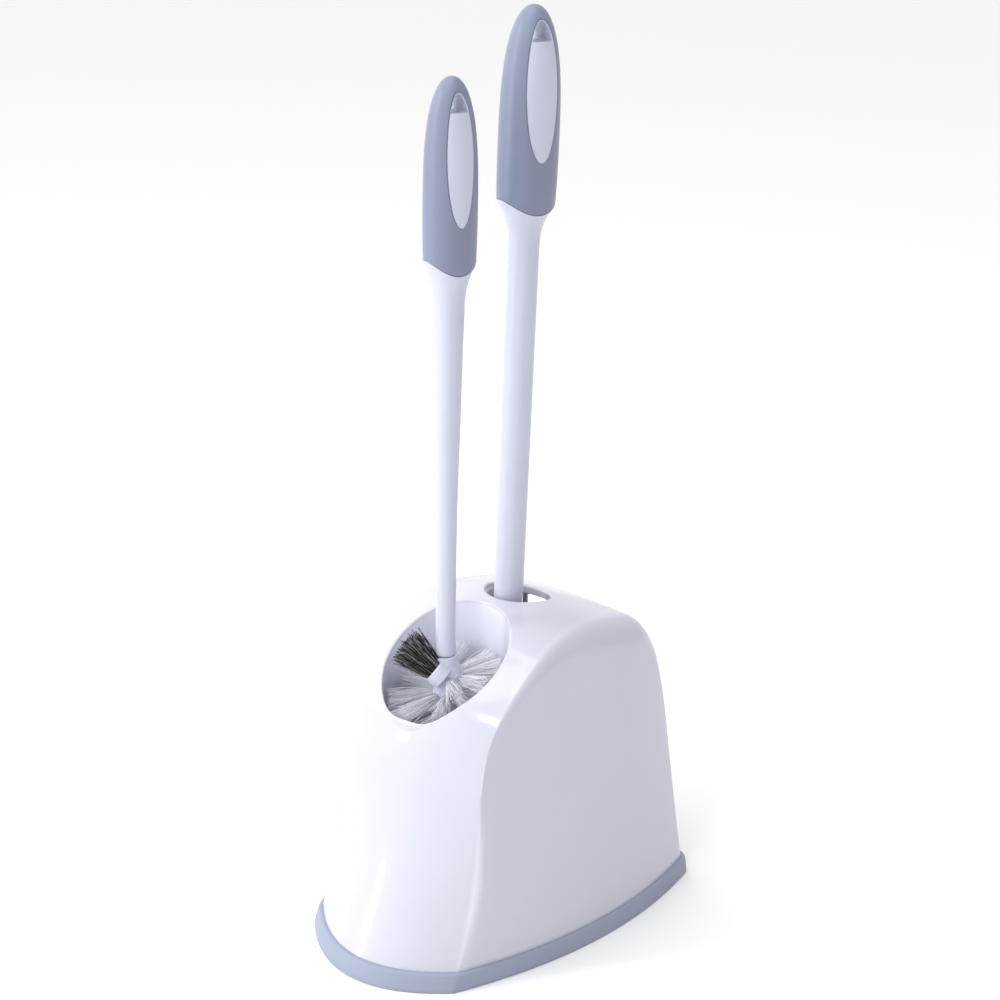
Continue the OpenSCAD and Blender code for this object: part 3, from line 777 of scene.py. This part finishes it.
# ------------------------------------------------------------------ materials
def material(name, base, other, rough, rough_other, scale, bump=0.0, bump_scale=900.0, **sockets):
    """Moulded finish: two close colours and two roughnesses mixed by noise, and a fine grain.

    Returns the material and the node that mixes its colours.
    """
    mat = bpy.data.materials.new(name)
    mat.use_nodes = True
    nodes, links = mat.node_tree.nodes, mat.node_tree.links
    shader = nodes["Principled BSDF"]
    place = nodes.new("ShaderNodeTexCoord")
    noise = nodes.new("ShaderNodeTexNoise")
    noise.inputs["Scale"].default_value = scale
    noise.inputs["Detail"].default_value = 4
    links.new(place.outputs["Object"], noise.inputs["Vector"])
    mix = nodes.new("ShaderNodeMix")
    mix.data_type = "RGBA"
    mix.inputs["A"].default_value = (*base, 1)
    mix.inputs["B"].default_value = (*other, 1)
    links.new(noise.outputs["Fac"], mix.inputs["Factor"])
    links.new(mix.outputs["Result"], shader.inputs["Base Color"])
    span = nodes.new("ShaderNodeMapRange")
    span.inputs["From Min"].default_value = 0.3
    span.inputs["From Max"].default_value = 0.7
    span.inputs["To Min"].default_value = rough
    span.inputs["To Max"].default_value = rough_other
    links.new(noise.outputs["Fac"], span.inputs["Value"])
    links.new(span.outputs["Result"], shader.inputs["Roughness"])
    if bump:
        grain = nodes.new("ShaderNodeTexNoise")
        grain.inputs["Scale"].default_value = bump_scale
        grain.inputs["Detail"].default_value = 3
        links.new(place.outputs["Object"], grain.inputs["Vector"])
        relief = nodes.new("ShaderNodeBump")
        relief.inputs["Strength"].default_value = bump
        relief.inputs["Distance"].default_value = 0.0002
        links.new(grain.outputs["Fac"], relief.inputs["Height"])
        links.new(relief.outputs["Normal"], shader.inputs["Normal"])
    for key, value in sockets.items():
        shader.inputs[key.replace("_", " ")].default_value = value
    return mat, mix


def dull(mat, level):
    """Lowers a material's reflection at normal incidence."""
    mat.node_tree.nodes["Principled BSDF"].inputs["Specular IOR Level"].default_value = level


def bristle_material(name, light, dark, rough):
    """Filaments that differ from strand to strand."""
    mat, mix = material(name, light, dark, rough, rough + 0.1, 300)
    tone = mat.node_tree.nodes.new("ShaderNodeAttribute")
    tone.attribute_name = "tone"
    mat.node_tree.links.new(tone.outputs["Fac"], mix.inputs["Factor"])
    return mat


SHELL_MAT = material("glossy white shell", (0.575, 0.58, 0.675), (0.587, 0.592, 0.685), 0.14, 0.19, 14,
                     0.02, 260, Coat_Weight=0.2, Coat_Roughness=0.05)[0]
# the shell's own white plastic, painted lighter to stand in for light bounced into the brush well
PAINTED_LIGHT_WELL_MAT = material("white shell with painted light in the well", (0.79, 0.81, 0.92), (0.805, 0.825, 0.93), 0.2, 0.27, 20)[0]
PLASTIC_MAT = material("white plastic", (0.56, 0.58, 0.70), (0.575, 0.595, 0.71), 0.2, 0.25, 30,
                       0.015, 500)[0]
GRIP_MAT = material("blue grey soft grip", (0.205, 0.23, 0.335), (0.22, 0.245, 0.35), 0.34, 0.4, 60,
                    0.12, 1800, Sheen_Weight=0.06)[0]
TRIM_MAT = material("grey soft trim", (0.29, 0.325, 0.43), (0.31, 0.345, 0.45), 0.48, 0.58, 60,
                    0.12, 1500)[0]
RUBBER_MAT = material("dark rubber", (0.016, 0.016, 0.018), (0.026, 0.026, 0.028), 0.55, 0.7, 40,
                      0.2, 1200)[0]
WHITE_BRISTLE_MAT = bristle_material("white bristles", (0.92, 0.925, 0.95), (0.70, 0.72, 0.78), 0.3)
DARK_BRISTLE_MAT = bristle_material("dark bristles", (0.5, 0.5, 0.54), (0.003, 0.003, 0.005), 0.45)
dull(DARK_BRISTLE_MAT, 0.25)


def finish_piece(obj, mats, body, slot, *nodes):
    """Gives a piece its materials, hides the CAD nodes it stands for and gives it its body; the slot
    argument is not used.
    """
    for mat in mats if isinstance(mats, tuple) else (mats,):
        obj.data.materials.append(mat)
    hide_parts(*nodes)
    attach(obj, body)
    return obj


finish_piece(build_shell(), SHELL_MAT, "caddy", "white_shell", "caddy_shell")
# the lip gets the shell's white; the inside of the well gets the copy with painted light
finish_piece(build_well(), (SHELL_MAT, PAINTED_LIGHT_WELL_MAT), "caddy", "white_shell", "brush_well")
finish_piece(build_trim(), TRIM_MAT, "caddy", "grey_trim", "base_trim")
finish_piece(build_core("plunger_core", PLUNGER, PLUNGER_SHAFT, PLUNGER_PLACE), PLASTIC_MAT,
             "plunger", "white_plastic", "plunger_handle")
finish_piece(build_grip("plunger_sleeve", PLUNGER, PLUNGER_PLACE), GRIP_MAT,
             "plunger", "grey_grip", "plunger_grip")
finish_piece(build_cup(), RUBBER_MAT, "plunger", "cup_rubber", "plunger_cup")
finish_piece(build_core("brush_core", BRUSH, BRUSH_SHAFT, BRUSH_PLACE), PLASTIC_MAT,
             "brush", "white_plastic", "brush_handle")
finish_piece(build_grip("brush_sleeve", BRUSH, BRUSH_PLACE), GRIP_MAT,
             "brush", "grey_grip", "brush_grip")
finish_piece(build_hub(), PLASTIC_MAT, "brush", "white_plastic", "brush_hub")
finish_piece(build_tufts("white_tufts_upper", (0, 1)), WHITE_BRISTLE_MAT,
             "brush", "white_bristle", "tufts_upper")
finish_piece(build_tufts("white_tufts_middle", (2, 3)), WHITE_BRISTLE_MAT,
             "brush", "white_bristle", "tufts_middle")
finish_piece(build_tufts("white_tufts_lower", (4, 5)), WHITE_BRISTLE_MAT,
             "brush", "white_bristle", "tufts_lower")
finish_piece(build_rim_tuft(), DARK_BRISTLE_MAT, "brush", "dark_bristle", "rim_tuft")


# ------------------------------------------------------------------ floor, light and camera
def area_light(name, place, target, size, power):
    data = bpy.data.lights.new(name, "AREA")
    data.shape = "RECTANGLE"
    data.size, data.size_y = size
    data.energy = power
    obj = bpy.data.objects.new(name, data)
    obj.location = place
    obj.rotation_euler = (Vector(target) - Vector(place)).to_track_quat("-Z", "Y").to_euler()
    bpy.context.scene.collection.objects.link(obj)


# half the floor's side in millimetres, and its grid lines
FLOOR_HALF, FLOOR_LINES = 20000, 9
# strength of the room's light on the left and on the right, and the way across it
ROOM_LEFT, ROOM_RIGHT, ROOM_WAY = 1.6, 0.3, (0.92, 0.38, 0)


def studio():
    """Plain pale floor, a soft room and four area lights."""
    n = FLOOR_LINES
    grid = np.linspace(-FLOOR_HALF, FLOOR_HALF, n)
    verts = [(x, y, 0) for y in grid for x in grid]
    faces = [(n * j + i, n * j + i + 1, n * j + i + n + 1, n * j + i + n)
             for j in range(n - 1) for i in range(n - 1)]
    floor = make("floor", verts, faces)
    floor_mat = material("pale floor", (0.95, 0.95, 0.95), (0.96, 0.96, 0.96), 0.7, 0.75, 2)[0]
    dull(floor_mat, 0.1)
    floor.data.materials.append(floor_mat)
    world = bpy.data.worlds.new("studio")
    world.use_nodes = True
    nodes, links = world.node_tree.nodes, world.node_tree.links
    nodes["Background"].inputs["Color"].default_value = (1, 1, 1, 1)
    # the room is brighter on the left than on the right
    place = nodes.new("ShaderNodeTexCoord")
    across = nodes.new("ShaderNodeVectorMath")
    across.operation = "DOT_PRODUCT"
    across.inputs[1].default_value = ROOM_WAY
    links.new(place.outputs["Generated"], across.inputs[0])
    span = nodes.new("ShaderNodeMapRange")
    span.inputs["From Min"].default_value = -1
    span.inputs["To Min"].default_value = ROOM_LEFT
    span.inputs["To Max"].default_value = ROOM_RIGHT
    links.new(across.outputs["Value"], span.inputs["Value"])
    links.new(span.outputs["Result"], nodes["Background"].inputs["Strength"])
    bpy.context.scene.world = world
    area_light("top", (0.1, -0.3, 2.2), (0, 0, 0.1), (1.2, 1.2), 12)
    area_light("key", (-1.1, -1.5, 1.5), (0, 0, 0.2), (0.4, 0.5), 5)
    area_light("window", (0.35, -1.5, 1.9), (0, -0.05, 0.18), (0.22, 0.3), 4)
    area_light("strip", (-1.0, -1.5, 0.75), (0, 0, 0.45), (0.16, 1.5), 7)
    bpy.context.scene.view_settings.view_transform = "Standard"


# the camera's place in metres, and how far it looks down, round to the left and rolls, in degrees
CAMERA_PLACE = (0.73852, -0.89026, 0.71577)
CAMERA_TURNS = (20.508, 39.272, 1.206)
LENS, SENSOR = 72, 36


def camera():
    """A view from above, from the right of the front."""
    down, around, roll = (math.radians(v) for v in CAMERA_TURNS)
    flat = np.array([-math.sin(around), math.cos(around), 0])
    up = np.array([0, 0, 1.0])
    right = np.array([math.cos(around), math.sin(around), 0])
    ahead = math.cos(down) * flat - math.sin(down) * up
    below = -math.sin(down) * flat - math.cos(down) * up
    c, s = math.cos(roll), math.sin(roll)
    x_axis = c * right - s * below
    y_axis = -(s * right + c * below)
    data = bpy.data.cameras.new("camera")
    data.sensor_width = SENSOR
    data.lens = LENS
    data.clip_end = 100
    obj = bpy.data.objects.new("camera", data)
    m = Matrix.Identity(4)
    for k, axis in enumerate((x_axis, y_axis, -ahead)):
        for i in range(3):
            m[i][k] = axis[i]
    for i, v in enumerate(CAMERA_PLACE):
        m[i][3] = v
    obj.matrix_world = m
    bpy.context.scene.collection.objects.link(obj)
    bpy.context.scene.camera = obj


studio()
camera()
